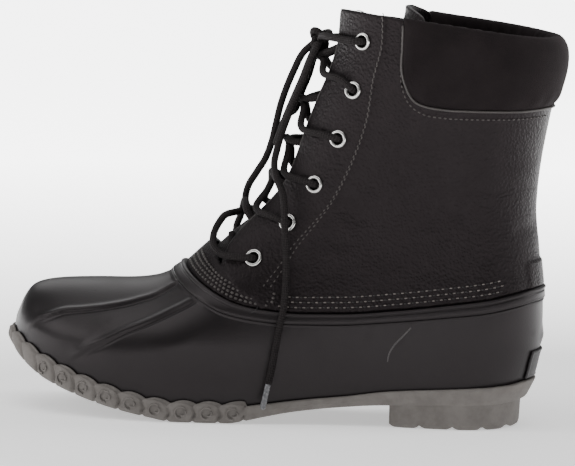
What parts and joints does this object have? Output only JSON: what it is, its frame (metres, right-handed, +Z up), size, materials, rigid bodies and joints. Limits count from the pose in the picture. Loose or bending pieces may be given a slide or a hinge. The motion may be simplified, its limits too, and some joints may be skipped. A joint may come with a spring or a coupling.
{
  "type": "duck boot",
  "caption": "Laced duck boot for the left foot: moulded rubber shell and sole below, leather shaft with a padded collar above.",
  "frame": {"origin": "on the floor, in the middle of the heel's rest face", "axes": "+Z up; the toe points to -X and the heel to +X; the outer side of the foot faces -Y"},
  "size_m": [0.3264, 0.1149, 0.2431],
  "materials": {
    "black_rubber": "satin moulded rubber",
    "grey_rubber": "matt warm grey rubber",
    "black_leather": "fine-grained leather with a slight gloss",
    "dark_nubuck": "matt napped leather",
    "dark_fabric": "matt lining cloth",
    "black_cord": "braided lace",
    "polished_steel": "polished steel",
    "label_rubber": "plain blank rubber patch",
    "grey_tip": "smoky clear plastic"
  },
  "bodies": {
    "root": {"outsole": "grey_rubber", "shell": "black_rubber", "upper": "black_leather", "tongue": "black_leather", "cuff": "dark_nubuck", "insole": "dark_fabric", "heel_label": "label_rubber", "eyelet_near_1": "polished_steel", "eyelet_near_2": "polished_steel", "eyelet_near_3": "polished_steel", "eyelet_near_4": "polished_steel", "eyelet_near_5": "polished_steel", "eyelet_near_6": "polished_steel", "eyelet_far_1": "polished_steel", "eyelet_far_2": "polished_steel", "eyelet_far_3": "polished_steel", "eyelet_far_4": "polished_steel", "eyelet_far_5": "polished_steel", "eyelet_far_6": "polished_steel", "lace_crossings": "black_cord", "lace_knot": "black_cord", "lace_loop_near": "black_cord", "lace_loop_far": "black_cord", "lace_end_near": "black_cord", "lace_end_far": "black_cord", "aglet_near": "grey_tip", "aglet_far": "grey_tip"}
  },
  "joints": []
}
